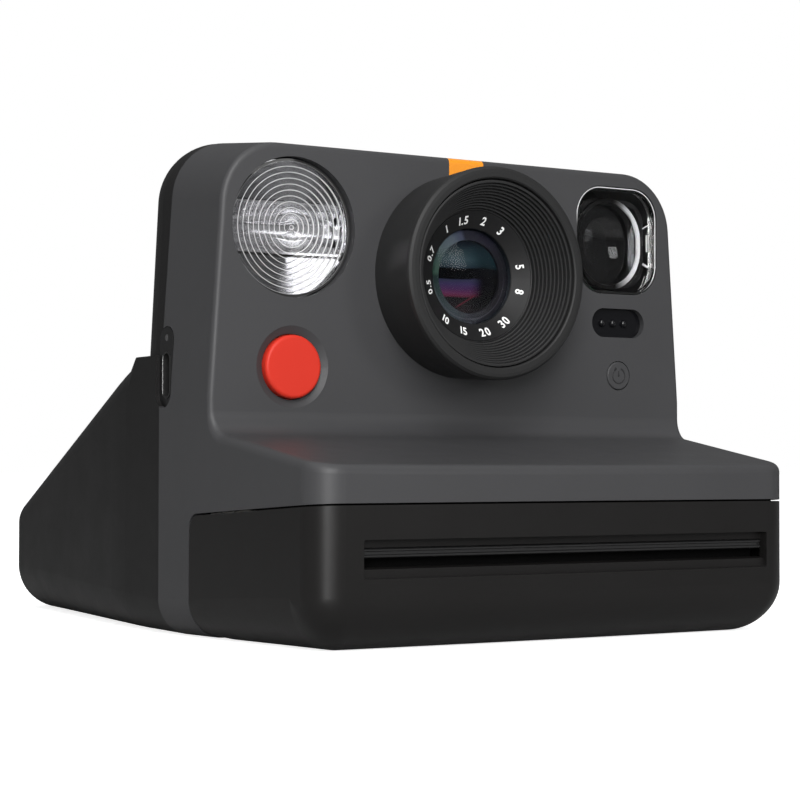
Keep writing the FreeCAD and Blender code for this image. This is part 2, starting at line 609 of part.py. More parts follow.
for i, nm in enumerate(("shutter_blade_left", "shutter_blade_right")):
    px, pz = BLP[i]
    s = 1 if i == 0 else -1
    pts = [(px - 2.2 * s, pz + 2.2), (px + 2.4 * s, pz + 2.2), (6.4 * s, 75.5), (6.8 * s, 61.2), (-5.6 * s, 61.2), (-6.6 * s, 74.5)]
    w = Part.makePolygon([V(x, BLY[i], z) for x, z in pts] + [V(pts[0][0], BLY[i], pts[0][1])])
    b = Part.Face(w).extrude(V(0, 0.3, 0))
    if b.Volume < 0:
        b.reverse()
    b = b.cut(cy(0.85, px, pz, -31, -28))
    out(nm, b)
out("pivot_pins", Part.makeCompound([cx(DR_BORE, DRV[0], DRV[1], PLX0 - 2.55, PLX1), cx(DR_BORE, IDL[0], IDL[1], PLX0 - 2.55, PLX1),
    cy(1.2, SEL[0], SEL[1], -34.3, -31.6), cy(0.8, BLP[0][0], BLP[0][1], -30.7, -27.2), cy(0.8, BLP[1][0], BLP[1][1], -30.7, -27.2)]))
out("shutter_solenoid", cyl(3.6, (-12, -25.0 - 4.0, 38.4), (0, 0, 1), 10.4).fuse(box(-16.2, -7.8, -32.6, -25.4, 39.6, 46.8)).removeSplitter())

# ---------------------------------------------------------------- flash
fp = [(0.0, -36.0), (12.9, -36.0), (12.9, -37.15)]
n_f = 11
for k in range(n_f):
    r0 = 12.4 - k * 1.1
    fp += [(r0, -37.15), (r0 - 1.0, -37.42), (r0 - 1.1, -37.15)]
fp = fp[:3] + fp[3:]
fp.append((0.0, -37.15))
out("flash_lens", rev_y(fp, FLX, FLZ))
fh = cy(14.2, FLX, FLZ, -35.95, -27.4).common(box(-50.1, -23.2, -40, -20, 60, 89.0))
fh = fh.cut(cy(12.4, FLX, FLZ, -36.2, -34.6))
fh = fh.cut(box(FLX - 12.0, FLX + 12.0, -36.2, -28.6, FLZ - 5.0, FLZ + 5.0))
out("flash_housing", fh.Solids[0])
tro = [(-35.6, 4.75), (-32.5, 3.9), (-30.2, 2.7), (-29.0, 0.9), (-29.0, -0.9), (-30.2, -2.7), (-32.5, -3.9), (-35.6, -4.75)]
tri = [(-35.6, -4.35), (-32.7, -3.5), (-30.7, -2.3), (-29.6, -0.7), (-29.6, 0.7), (-30.7, 2.3), (-32.7, 3.5), (-35.6, 4.35)]
refl = prism_x([(y, FLZ + z) for y, z in tro + tri], FLX - 11.6, FLX + 11.6)
out("flash_reflector", refl)
out("flash_tube", cx(1.25, -32.6, FLZ, FLX - 11.4, FLX + 11.4))
out("flash_board", box(-50.0, -23.0, -26.9, -25.7, 44.0, 84.0).common(front_in))
out("flash_capacitor", cx(6.0, -15.6, 56.6, -47.8, -24.0))

# ---------------------------------------------------------------- viewfinder
vf_y0 = YF + 0.25
frame_o = rrect_y(VFX, VFZ, VFW - 0.1, VFH - 0.1, VFRC - 0.05, vf_y0, -36.2)
frame_i = rrect_y(VFX, VFZ, VFW - 1.3, VFH - 1.3, VFRC - 0.65, vf_y0 - 1, -35)
out("viewfinder_frame", frame_o.cut(frame_i))
out("viewfinder_window", rrect_y(VFX, VFZ, VFW - 1.34, VFH - 1.34, VFRC - 0.67, vf_y0 + 0.35, vf_y0 + 1.35))
tun_o = rrect_y(VFX - 0.2, VFZ - 0.4, 17.6, 18.0, 5.0, -36.1, -24.0)
tun_i = rrect_y(VFX - 0.2, VFZ - 0.4, 15.8, 16.2, 4.2, -36.3, -23.0)
t2o = rrect_y(EYX, EYZ, 13.6, 13.6, 3.0, -24.0, -8.2)
t2i = rrect_y(EYX, EYZ, 11.8, 11.8, 2.4, -25.2, -8.0)
bulk = rrect_y(VFX - 1.4, VFZ - 0.8, 19.8, 18.0, 4.0, -25.0, -24.0).cut(rrect_y(EYX, EYZ, 11.8, 11.8, 2.4, -26, -23)).common(front_in)
tun = tun_o.cut(tun_i).fuse(bulk).fuse(t2o.cut(t2i)).removeSplitter()
tun = tun.common(front_in.fuse(rear_in))
out("viewfinder_tunnel", tun.Solids[0])
vl = rrect_y(VFX - 0.2, VFZ - 0.4, 15.6, 16.0, 4.1, -34.4, -32.6)
vl = vl.cut(Part.makeSphere(16.0, V(VFX - 0.2, -34.4 - 15.0, VFZ - 0.4)))
el = rrect_y(EYX, EYZ, 11.6, 11.6, 2.3, -10.6, -9.0)
out("viewfinder_lenses", Part.makeCompound([vl, el]))
es = rrect_y(EYX, EYZ, 12.8, 12.8, 3.5, -8.1, -4.5).fuse(rrect_y(EYX, EYZ, 17.0, 16.4, 5.0, -4.48, -2.6))
es = es.makeFillet(0.8, near(es, [(EYX, -2.6, EYZ + 8.2), (EYX, -2.6, EYZ - 8.2)]))
es = es.cut(rrect_y(EYX, EYZ, 9.6, 9.6, 2.4, -9, 0)).removeSplitter()
out("eyepiece_surround", es.cut(rear_out).fuse(rrect_y(EYX, EYZ, 12.8, 12.8, 3.5, -8.1, -3.0).cut(rrect_y(EYX, EYZ, 9.6, 9.6, 2.4, -9, 0))).removeSplitter().Solids[0])

# ---------------------------------------------------------------- sensor window
sm = rrect_y(PLX, PLZ, PLW - 0.1, PLH - 0.1, PLH / 2 - 0.05, -37.4, -36.2)
sm = sm.fuse(box(PLX - 7.2, PLX + 7.2, -36.35, -33.0, PLZ - 3.4, PLZ + 3.4))
out("sensor_module", Part.makeCompound([sm.removeSplitter()] + [Part.makeSphere(0.85, V(PLX + dx, -37.4, PLZ)).common(box(20, 60, -39, -37.4, 40, 80)) for dx in (-3.4, -0.6, 2.2)]))

# ---------------------------------------------------------------- buttons
def button(x, z, r, y_face, y_wall_in, y_end, sgn, fil):
    """cap through the wall, collar behind it, stem to the switch. sgn +1: faces -Y"""
    if sgn > 0:
        cap = cy(r, x, z, y_face, y_wall_in + 0.12)
        cap = cap.makeFillet(fil, near(cap, [(x + r, y_face, z)]))
        col = cy(r + 0.9, x, z, y_wall_in + 0.1, y_wall_in + 0.9)
        stem = cy(1.5, x, z, y_wall_in + 0.8, y_end)
    else:
        cap = cy(r, x, z, y_wall_in - 0.12, y_face)
        cap = cap.makeFillet(fil, near(cap, [(x + r, y_face, z)]))
        col = cy(r + 0.7, x, z, y_wall_in - 0.9, y_wall_in - 0.1)
        stem = cy(1.2, x, z, y_end, y_wall_in - 0.8)
    return cap.fuse(col).fuse(stem).removeSplitter()


yi = YF + WALL
out("shutter_button", button(BTX, BTZ, BTR - 0.22, YF - 0.65, yi, -31.4, 1, 0.7))
out("timer_button", button(TMX, TMZ, TMR - 0.15, YF - 0.15, yi, -31.4, 1, 0.25))
out("power_button", button(PWX, PWZ, 5.0, YT + 0.5, YT - WALL, -8.3, -1, 0.5))
out("flash_button", button(FBX, FBZ, 3.5, YT + 0.5, YT - WALL, -8.3, -1, 0.4))
mb = box(22.8, 50.2, -29.6, -28.4, 37.0, 65.5)
out("main_board", mb.common(front_in))
out("button_switches", Part.makeCompound([
    box(TMX - 2.5, TMX + 2.5, -30.4, -29.62, TMZ - 2.5, TMZ + 2.5),
    box(BTX - 3.0, BTX + 3.0, -29.6, -26.92, BTZ - 3.0, BTZ + 3.0),
    cyl(2.4, (PWX, -10.58, PWZ), (0, 1, 0), 1.4), cyl(2.4, (FBX, -10.58, FBZ), (0, 1, 0), 1.4)]))
rb = box(-42.0, 17.5, -11.4, -10.6, 62.0, 78.0)
out("rear_board", rb)
out("counter_window", rrect_y(CNX, CNZ, 10.8, 6.8, 1.5, YT - 1.4, YT - 0.15))
out("counter_display", box(CNX - 5.2, CNX + 5.2, -10.5, -6.6, CNZ - 3.2, CNZ + 3.2))
out("battery", rrect_x(-18.5, 59.0, 18.0, 15.0, 2.0, 21.5, 47.0))

# ---------------------------------------------------------------- charging port on the left side
xs = -wz(USY, USZ)
bez = rrect_x(USY, USZ, 5.6, 15.2, 2.8, xs + 0.45, xs + 3.6).fuse(rrect_x(USY, USZ, 7.6, 17.2, 3.4, xs + 3.5, xs + 4.3))
bez = bez.cut(rrect_x(USY, USZ - 1.5, 3.3, 9.0, 1.62, -60, -40))
bez = bez.cut(cx(0.62, USY, USZ + 5.5, -60, -40))
out("usb_bezel", bez.removeSplitter())
us = rrect_x(USY, USZ - 1.5, 3.2, 8.9, 1.6, xs + 0.35, xs + 7.6).cut(rrect_x(USY, USZ - 1.5, 2.5, 8.2, 1.25, xs - 1, xs + 6.8))
us = us.fuse(box(xs + 1.3, xs + 7.0, USY - 0.35, USY + 0.35, USZ - 1.5 - 3.2, USZ - 1.5 + 3.2))
out("usb_socket", us.removeSplitter())
out("charge_led", cx(0.6, USY, USZ + 5.5, xs + 0.4, xs + 3.2))

# ---------------------------------------------------------------- fasteners
screw_solids = []
# four screws hold the lens mount plate
for (x, z) in ((-19.6, 50.1), (19.6, 50.1), (-19.6, 86.9), (19.6, 86.9)):
    h = cy(1.6, x, z, -34.38, -33.5)
    h = h.cut(box(x - 1.2, x + 1.2, -33.8, -33.0, z - 0.22, z + 0.22)).cut(box(x - 0.22, x + 0.22, -33.8, -33.0, z - 1.2, z + 1.2))
    screw_solids.append(h)
out("lens_plate_screws", Part.makeCompound(screw_solids))

out("rear_shell", rear_shell.Solids[0])

# ---------------------------------------------------------------- export
for name, sh in NODES.items():
    n = len(sh.Solids)
    bad = (not sh.isValid()) or sh.Volume <= 0 or n == 0
    print("%-22s %2d %s %8.1f" % (name, n, "BAD" if bad else "ok", sh.Volume))
    sh.exportStep("parts/%s.step" % name)
print(len(NODES), "nodes")
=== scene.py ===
import math
import bpy
import bmesh
from mathutils import Matrix, Vector


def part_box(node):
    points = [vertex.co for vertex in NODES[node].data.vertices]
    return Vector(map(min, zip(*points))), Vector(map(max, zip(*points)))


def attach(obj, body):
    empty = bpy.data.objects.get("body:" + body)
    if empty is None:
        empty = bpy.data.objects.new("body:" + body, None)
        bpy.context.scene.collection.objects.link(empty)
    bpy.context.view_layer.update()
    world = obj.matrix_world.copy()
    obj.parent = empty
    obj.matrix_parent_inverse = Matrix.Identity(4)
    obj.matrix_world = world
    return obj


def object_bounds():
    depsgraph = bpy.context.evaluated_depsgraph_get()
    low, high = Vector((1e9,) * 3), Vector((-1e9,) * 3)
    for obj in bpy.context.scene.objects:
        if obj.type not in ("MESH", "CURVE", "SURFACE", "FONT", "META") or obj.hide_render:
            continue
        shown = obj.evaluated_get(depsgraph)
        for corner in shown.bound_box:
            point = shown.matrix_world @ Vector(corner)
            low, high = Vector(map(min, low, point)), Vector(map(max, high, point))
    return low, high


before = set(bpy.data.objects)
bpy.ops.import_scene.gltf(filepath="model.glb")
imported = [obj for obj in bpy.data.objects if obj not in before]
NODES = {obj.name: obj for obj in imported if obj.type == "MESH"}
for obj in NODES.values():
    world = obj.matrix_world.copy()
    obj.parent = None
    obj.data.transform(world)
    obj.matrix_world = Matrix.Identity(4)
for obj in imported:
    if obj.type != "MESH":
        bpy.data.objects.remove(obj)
CAD_BOX = [list(v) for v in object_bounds()]
scene = bpy.context.scene
MM = 0.001

# ------------------------------------------------------------------ camera
R = Vector((0.84029879, -0.54212195, 0.0013204))
U = Vector((-0.01659775, -0.02329219, 0.99959091))
B = Vector((-0.54186941, -0.83997695, -0.02857041))
cam_data = bpy.data.cameras.new("camera")
cam_data.sensor_width = 36.0
cam_data.lens = 99.05
cam = bpy.data.objects.new("camera", cam_data)
scene.collection.objects.link(cam)
m = Matrix((R, U, B)).transposed().to_4x4()
m.translation = Vector((-0.24195, -0.39193, 0.03240))
cam.matrix_world = m
scene.camera = cam
scene.view_settings.view_transform = "Standard"
scene.view_settings.look = "None"


# ------------------------------------------------------------------ node helpers
class Mat:
    """a small builder for a procedural material in object coordinates, sizes in millimetres"""

    def __init__(self, name):
        self.m = bpy.data.materials.new(name)
        self.m.use_nodes = True
        self.nt = self.m.node_tree
        self.nt.nodes.clear()
        self.out = self.new("ShaderNodeOutputMaterial")
        self.p = self.new("ShaderNodeBsdfPrincipled")
        self.nt.links.new(self.p.outputs[0], self.out.inputs[0])
        self.tc = self.new("ShaderNodeTexCoord").outputs["Object"]

    def new(self, kind):
        return self.nt.nodes.new(kind)

    def link(self, a, b):
        self.nt.links.new(a, b)

    def put(self, node, key, value):
        if hasattr(value, "links") or isinstance(value, bpy.types.NodeSocket):
            self.link(value, node.inputs[key])
        else:
            node.inputs[key].default_value = value

    def set(self, **kw):
        for k, v in kw.items():
            key = k.replace("_", " ")
            if isinstance(v, (tuple, list)) and len(v) == 3 and key in ("Base Color", "Specular Tint", "Coat Tint", "Emission Color"):
                v = (*v, 1.0)
            self.put(self.p, key, v)

    def mapped(self, scale=(1, 1, 1), shift=(0, 0, 0), rot=(0, 0, 0)):
        n = self.new("ShaderNodeMapping")
        self.link(self.tc, n.inputs["Vector"])
        n.inputs["Location"].default_value = shift
        n.inputs["Rotation"].default_value = rot
        n.inputs["Scale"].default_value = scale
        return n.outputs[0]

    def noise(self, size, detail=2.0, rough=0.5, stretch=None, shift=(0, 0, 0), distort=0.0):
        n = self.new("ShaderNodeTexNoise")
        n.inputs["Scale"].default_value = 1000.0 / size
        n.inputs["Detail"].default_value = detail
        n.inputs["Roughness"].default_value = rough
        n.inputs["Distortion"].default_value = distort
        self.link(self.mapped(stretch or (1, 1, 1), shift), n.inputs["Vector"])
        return n.outputs["Fac"]

    def voronoi(self, size, feature="F1", shift=(0, 0, 0)):
        n = self.new("ShaderNodeTexVoronoi")
        n.feature = feature
        n.inputs["Scale"].default_value = 1000.0 / size
        self.link(self.mapped((1, 1, 1), shift), n.inputs["Vector"])
        return n.outputs["Distance"]

    def range(self, x, a, b, c, d, clamp=True, smooth=False):
        n = self.new("ShaderNodeMapRange")
        n.clamp = clamp
        if smooth:
            n.interpolation_type = "SMOOTHSTEP"
        self.put(n, "Value", x)
        for k, v in zip(("From Min", "From Max", "To Min", "To Max"), (a, b, c, d)):
            n.inputs[k].default_value = v
        return n.outputs["Result"]

    def math(self, op, a, b=0.0, c=None):
        n = self.new("ShaderNodeMath")
        n.operation = op
        for i, v in enumerate((a, b) if c is None else (a, b, c)):
            if isinstance(v, bpy.types.NodeSocket):
                self.link(v, n.inputs[i])
            else:
                n.inputs[i].default_value = v
        return n.outputs[0]

    def mix(self, f, a, b, mode="MIX"):
        n = self.new("ShaderNodeMix")
        n.data_type = "RGBA"
        n.blend_type = mode
        n.clamp_factor = True
        for k, v in ((0, f), (6, a), (7, b)):
            if isinstance(v, bpy.types.NodeSocket):
                self.link(v, n.inputs[k])
            elif k == 0:
                n.inputs[k].default_value = v
            else:
                n.inputs[k].default_value = (*v, 1.0) if len(v) == 3 else v
        return n.outputs[2]

    def ramp(self, f, stops, mode="LINEAR"):
        n = self.new("ShaderNodeValToRGB")
        n.color_ramp.interpolation = mode
        els = n.color_ramp.elements
        while len(els) < len(stops):
            els.new(0.5)
        for e, (pos, col) in zip(els, stops):
            e.position = pos
            e.color = (*col, 1.0)
        self.link(f, n.inputs[0])
        return n.outputs[0]

    def xyz(self):
        n = self.new("ShaderNodeSeparateXYZ")
        self.link(self.tc, n.inputs[0])
        return n.outputs

    def bump(self, *layers):
        """layers: (height socket, strength, distance in mm)"""
        last = None
        for h, s, d in layers:
            n = self.new("ShaderNodeBump")
            n.inputs["Strength"].default_value = s
            n.inputs["Distance"].default_value = d * MM
            self.link(h, n.inputs["Height"])
            if last is not None:
                self.link(last, n.inputs["Normal"])
            last = n.outputs[0]
        self.link(last, self.p.inputs["Normal"])
        return last


def scaled(c, k):
    return tuple(min(1.0, x * k) for x in c)


def moulded(name, col, rough=0.45, spec=0.5, grain=0.22, bump=0.25, var=0.05, depth=0.012, coat=0.0, coat_rough=0.2, speck=0.05):
    """moulded plastic: slow tone drift, fine spark-eroded grain in colour, roughness and height"""
    M = Mat(name)
    drift = M.noise(34.0, 2.0, 0.5)
    base = M.mix(M.range(drift, 0.3, 0.7, 0, 1), scaled(col, 1 - var), scaled(col, 1 + var))
    fine = M.noise(grain, 3.0, 0.65, shift=(3.1, 0, 1.7))
    base = M.mix(M.range(fine, 0.35, 0.75, 0.0, speck * 4), base, scaled(col, 1.35))
    smudge = M.noise(9.0, 3.0, 0.6, shift=(7, 5, 2))
    M.set(Base_Color=base, Roughness=M.range(smudge, 0.25, 0.75, rough - 0.035, rough + 0.035), Specular_IOR_Level=spec)
    if coat:
        M.set(Coat_Weight=coat, Coat_Roughness=coat_rough)
    M.bump((fine, bump, depth), (M.noise(2.6, 2.0, 0.5), 0.10, 0.02))
    return M


def metal(name, col, rough=0.25, stretch=(1, 1, 1), size=0.5, bump=0.15, var=0.1):
    M = Mat(name)
    streak = M.noise(size, 3.0, 0.6, stretch=stretch)
    base = M.mix(streak, scaled(col, 1 - var), scaled(col, 1 + var))
    M.set(Base_Color=base, Metallic=1.0, Roughness=M.range(streak, 0.3, 0.7, rough - 0.05, rough + 0.08))
    M.bump((streak, bump, 0.01))
    return M


def clear(name, col=(1, 1, 1), rough=0.02, ior=1.49, ripple=0.02, ripple_size=4.0, spec=0.5):
    M = Mat(name)
    haze = M.noise(ripple_size, 2.0, 0.5)
    M.set(Base_Color=M.mix(haze, scaled(col, 0.97), col), Transmission_Weight=1.0, IOR=ior, Roughness=M.range(haze, 0.3, 0.7, max(0.0, rough - 0.01), rough + 0.02), Specular_IOR_Level=spec)
    if spec < 0.1:
        M.set(Specular_Tint=(0.1, 0.1, 0.1))
    M.bump((haze, 0.05, ripple))
    return M


def use(M, *nodes):
    for n in nodes:
        o = NODES[n]
        o.data.materials.clear()
        o.data.materials.append(M.m)
    return M


# ------------------------------------------------------------------ casing materials
GREY = (0.0425, 0.0425, 0.0445)
BLACK = (0.0095, 0.0092, 0.0092)

grey = moulded("grey_satin", GREY, rough=0.47, spec=0.34, grain=0.26, bump=0.22, depth=0.010)
use(grey, "front_shell")
x, y, z = grey.xyz()
# painted shade: the grey shell is darkened towards black along its rear rim at the parting line, standing in for the
# shadow in the seam gap
seam_painted_shade = grey.range(y, -0.02050, -0.02032, 0, 0.85, smooth=True)
old = grey.p.inputs["Base Color"].links[0].from_socket
grey.set(Base_Color=grey.mix(seam_painted_shade, old, (0.008, 0.008, 0.008)))
black = moulded("black_satin", BLACK, rough=0.46, spec=0.20, grain=0.26, bump=0.24, depth=0.010)
use(black, "rear_shell", "door_latch")
door = moulded("black_door_satin", (0.0082, 0.0077, 0.0075), rough=0.36, spec=0.25, grain=0.24, bump=0.18, depth=0.008)
use(door, "film_door")
use(moulded("grey_button_satin", scaled(GREY, 0.95), rough=0.45, spec=0.42, grain=0.2), "timer_button")
use(moulded("dark_button_satin", (0.03, 0.03, 0.031), rough=0.42, spec=0.45, grain=0.2), "power_button", "flash_button")
barrel = moulded("barrel_satin", (0.0150, 0.0150, 0.0152), rough=0.50, spec=0.30, grain=0.2, bump=0.12, depth=0.006)
use(barrel, "lens_barrel")
ribs = moulded("rib_satin", (0.0155, 0.0155, 0.0158), rough=0.38, spec=0.42, grain=0.18, bump=0.05, depth=0.004, speck=0.02)
use(ribs, "lens_ribbed_ring")
use(moulded("scale_ring_satin", (0.0105, 0.0105, 0.0108), rough=0.46, spec=0.18, grain=0.18, bump=0.08, depth=0.004), "lens_scale_ring")
inner = moulded("inner_matt_black", (0.007, 0.007, 0.0072), rough=0.62, spec=0.3, grain=0.3, bump=0.3)
use(inner, "film_chamber", "dark_chamber", "lens_mount_plate", "shutter_housing",
    "viewfinder_tunnel", "eyepiece_surround", "counter_display", "lens_selector")

# shutter blades: thin blackened steel
use(metal("blackened_steel", (0.03, 0.03, 0.032), rough=0.35, stretch=(1, 1, 0.15), size=0.4), "shutter_blade_left", "shutter_blade_right")

# red release button
M = moulded("release_red", (0.56, 0.030, 0.016), rough=0.42, spec=0.22, grain=0.25, bump=0.10, var=0.04, depth=0.006, speck=0.015)
use(M, "shutter_button")

# amber inlay
use(moulded("amber_inlay", (0.78, 0.27, 0.012), rough=0.35, spec=0.5, grain=0.22, bump=0.08, speck=0.02), "accent_stripe")

# steel, rollers and small metal
use(metal("ground_steel", (0.58, 0.58, 0.59), rough=0.22, stretch=(0.06, 1, 1), size=0.35), "lower_roller", "upper_roller", "hinge_pins", "pivot_pins")
use(metal("stamped_steel", (0.50, 0.50, 0.51), rough=0.34, stretch=(1, 0.2, 1), size=0.6), "gear_plate", "film_pick", "drive_motor", "shutter_solenoid")
use(metal("tin_plate", (0.66, 0.65, 0.62), rough=0.24, stretch=(0.3, 1, 1), size=0.5), "button_switches", "lens_plate_screws", "motor_pinion")
use(metal("flash_plate", (0.33, 0.33, 0.34), rough=0.09, stretch=(1, 1, 1), size=6.0, bump=0.02, var=0.04), "flash_housing")
use(metal("flash_chrome", (0.66, 0.66, 0.67), rough=0.20, stretch=(1, 1, 1), size=5.0, bump=0.03, var=0.03), "flash_reflector")
M = Mat("silvered")
haze = M.noise(12.0, 3.0)
M.set(Base_Color=M.mix(haze, (0.84, 0.85, 0.86), (0.9, 0.9, 0.9)), Metallic=1.0, Roughness=M.range(haze, 0.3, 0.7, 0.02, 0.05))
use(M, "mirror")

# acetal gears and bearings
use(moulded("acetal", (0.72, 0.71, 0.66), rough=0.38, spec=0.5, grain=0.3, bump=0.12, var=0.03, speck=0.02),
    "lower_roller_gear", "upper_roller_gear", "drive_gear", "idler_gear", "roller_bearings")

# film shield: thin laminated sheet and its glossy bar
M = moulded("shield_film", (0.010, 0.010, 0.0102), rough=0.20, spec=0.6, grain=0.5, bump=0.06, depth=0.006, speck=0.01)
use(M, "film_shield")

# boards: solder mask with copper tracks and pads
M = Mat("board_green")
br = M.new("ShaderNodeTexBrick")
br.inputs["Scale"].default_value = 420.0
br.inputs["Mortar Size"].default_value = 0.035
br.inputs["Brick Width"].default_value = 1.7
br.inputs["Row Height"].default_value = 0.45
br.inputs["Color1"].default_value = (0.010, 0.075, 0.030, 1)
br.inputs["Color2"].default_value = (0.012, 0.095, 0.038, 1)
br.inputs["Mortar"].default_value = (0.03, 0.19, 0.08, 1)
M.link(M.mapped((1, 1, 1), (0, 0, 0), (math.pi / 2, 0, 0)), br.inputs["Vector"])
pads = M.voronoi(2.1)
dots = M.range(pads, 0.16, 0.20, 1, 0)
M.set(Base_Color=M.mix(dots, br.outputs[0], (0.72, 0.66, 0.45)), Metallic=M.math("MULTIPLY", dots, 0.9), Roughness=0.32)
M.bump((br.outputs[1], 0.3, 0.03), (dots, 0.4, 0.05))
use(M, "main_board", "rear_board", "flash_board")

# capacitor sleeve, battery wrap
M = moulded("capacitor_sleeve", (0.012, 0.014, 0.02), rough=0.3, spec=0.5, grain=0.6, bump=0.05)
use(M, "flash_capacitor")
M = Mat("battery_wrap")
x, y, z = M.xyz()
fold = M.noise(5.0, 3.0, 0.6, stretch=(1, 1, 0.3))
band = M.range(z, 0.0628, 0.0630, 0, 1)
M.set(Base_Color=M.mix(band, M.mix(fold, (0.02, 0.07, 0.20), (0.03, 0.10, 0.26)), (0.55, 0.55, 0.54)), Roughness=M.range(fold, 0.3, 0.7, 0.2, 0.34))
M.bump((fold, 0.3, 0.08))
use(M, "battery")

# windows and lenses
PORT_Y0, PORT_Y1 = -0.02040, -0.02005
vf_clear = clear("clear_acrylic", (0.985, 0.985, 0.99), rough=0.0, ior=1.2, ripple=0.004, spec=0.2)
use(vf_clear, "viewfinder_window", "flash_tube")
use(clear("rim_acrylic", (0.96, 0.96, 0.97), rough=0.08, ior=1.49, ripple=0.02), "viewfinder_frame")
use(clear("smoky_lens", (0.20, 0.205, 0.21), rough=0.01, ior=1.52, ripple=0.004), "viewfinder_lenses")
# flash lens: clear acrylic whose ring crests on the front face turn opaque and near white as painted highlight rings,
# and whose rim is a dark opaque band, like a blackened lens rim, standing in for the shaded gap round the lens
M = Mat("flash_ridged")
x, y, z = M.xyz()
fx, fz = M.math("SUBTRACT", x, -0.0373), M.math("SUBTRACT", z, 0.0762)
fr = M.math("SQRT", M.math("ADD", M.math("MULTIPLY", fx, fx), M.math("MULTIPLY", fz, fz)))
wave = M.math("ABSOLUTE", M.math("SUBTRACT", M.math("FRACT", M.math("ADD", M.math("DIVIDE", M.math("SUBTRACT", fr, 0.0004), 0.0011), 0.5)), 0.5))
# painted highlight: near-white opaque rings on the ridge crests of the front face
crest_painted_highlight = M.range(wave, 0.02, 0.13, 1, 0, smooth=True)
haze = M.noise(3.0, 2.0, 0.5)
front = M.range(y, -0.0369, -0.0371, 0, 1)
crest_painted_highlight = M.math("MULTIPLY", crest_painted_highlight, front)
# painted shade: a dark opaque band beyond 12.4 mm radius, like a blackened lens rim, for the shaded gap round the lens
edge = M.range(fr, 0.01240, 0.01248, 0, 1)
solid = M.math("MAXIMUM", M.math("MULTIPLY", crest_painted_highlight, 0.62), M.math("MULTIPLY", edge, 0.93))
M.set(Base_Color=M.mix(edge, M.mix(haze, (0.95, 0.95, 0.96), (0.98, 0.98, 0.99)), (0.03, 0.03, 0.03)), Transmission_Weight=M.math("SUBTRACT", 1.0, solid),
      IOR=1.42, Roughness=M.range(haze, 0.3, 0.7, 0.0, 0.02), Specular_IOR_Level=0.35)
M.bump((haze, 0.02, 0.01))
use(M, "flash_lens")
M = moulded("smoked_window", (0.005, 0.005, 0.006), rough=0.09, spec=0.32, grain=1.0, bump=0.02, var=0.02, speck=0.0)
use(M, "sensor_module", "counter_window")
M = Mat("port_shell")
x, y, z = M.xyz()
worn = M.noise(0.6, 2.0)
wall = M.math("MULTIPLY", M.range(y, PORT_Y0, PORT_Y0 + 0.0001, 0, 1), M.range(y, PORT_Y1, PORT_Y1 + 0.0001, 1, 0))
M.set(Base_Color=M.mix(wall, M.mix(worn, (0.010, 0.010, 0.010), (0.016, 0.016, 0.016)), (0.85, 0.85, 0.84)), Metallic=M.math("MULTIPLY", wall, 0.4), Roughness=M.range(worn, 0.3, 0.7, 0.30, 0.40))
M.bump((worn, 0.08, 0.005))
use(M, "usb_socket")
M = Mat("light_pipe")
haze = M.noise(0.8, 2.0)
M.set(Base_Color=M.mix(haze, (0.055, 0.055, 0.056), (0.075, 0.075, 0.076)), Roughness=0.3, Specular_IOR_Level=0.3)
M.bump((haze, 0.1, 0.01))
use(M, "charge_led")
use(moulded("port_black", (0.006, 0.006, 0.0062), rough=0.30, spec=0.45, grain=0.25, bump=0.10), "usb_bezel")

# lens glass: coated front element, a cell whose ledge has the coating's coloured reflections painted into its colour,
# and a rear element with painted coating reflections
use(clear("front_glass", (0.93, 0.96, 0.97), rough=0.0, ior=1.5, ripple=0.001, spec=0.04), "lens_front_element")
LX, LZ = 0.0, 0.0685


def lens_xy(M):
    x, y, z = M.xyz()
    return x, M.math("SUBTRACT", z, LZ)


def lin(c, k=1.0):
    """8-bit display colour to linear reflectance"""
    out = []
    for q in c:
        q /= 255.0
        out.append(k * (q / 12.92 if q <= 0.04045 else ((q + 0.055) / 1.055) ** 2.4))
    return tuple(out)


M = Mat("cell_painted_reflection")
lx, lz = lens_xy(M)
r = M.math("SQRT", M.math("ADD", M.math("MULTIPLY", lx, lx), M.math("MULTIPLY", lz, lz)))
turn = M.math("ADD", M.math("DIVIDE", M.math("ARCTAN2", lx, lz), 2 * math.pi), 0.5)
K = 0.72
# painted reflection: the coating's coloured reflections, grey, teal, green and violet round the axis, painted into the
# ledge, darker teal towards its outer rim
painted_reflection_tint = M.ramp(turn, [(0.0, lin((74, 74, 82), K)), (0.083, lin((78, 88, 94), K)), (0.167, lin((54, 70, 70), K)), (0.245, lin((42, 60, 58), K)), (0.262, lin((72, 104, 88), K)),
                     (0.33, lin((76, 98, 96), K)), (0.42, lin((92, 106, 120), K)), (0.468, lin((96, 100, 126), K)), (0.482, lin((50, 50, 61), K)), (0.58, lin((48, 46, 57), K)),
                     (0.67, lin((44, 42, 48), K)), (0.75, lin((46, 44, 50), K)), (0.84, lin((52, 48, 55), K)), (0.93, lin((60, 59, 65), K)), (1.0, lin((74, 74, 82), K))])
band = M.range(r, 0.0088, 0.0093, 1, 0.35, smooth=True)
painted_reflection_tint = M.mix(band, (0.004, 0.010, 0.014), painted_reflection_tint)
# painted highlight: a lighter ring at 8.2 mm radius on the lower half
painted_highlight_ring = M.range(M.math("ABSOLUTE", M.math("SUBTRACT", r, 0.0082)), 0.0, 0.00022, 0.35, 0, smooth=True)
painted_reflection_tint = M.mix(M.math("MULTIPLY", painted_highlight_ring, M.range(lz, 0.001, -0.004, 0, 1)), painted_reflection_tint, (0.16, 0.16, 0.19))
inside = M.range(r, 0.0093, 0.0096, 1, 0)
grainy = M.noise(0.25, 2.0)
M.set(Base_Color=M.mix(inside, (0.008, 0.008, 0.008), painted_reflection_tint), Roughness=M.range(grainy, 0.3, 0.7, 0.36, 0.46), Specular_IOR_Level=0.12)
M.bump((grainy, 0.05, 0.003))
use(M, "lens_cell")

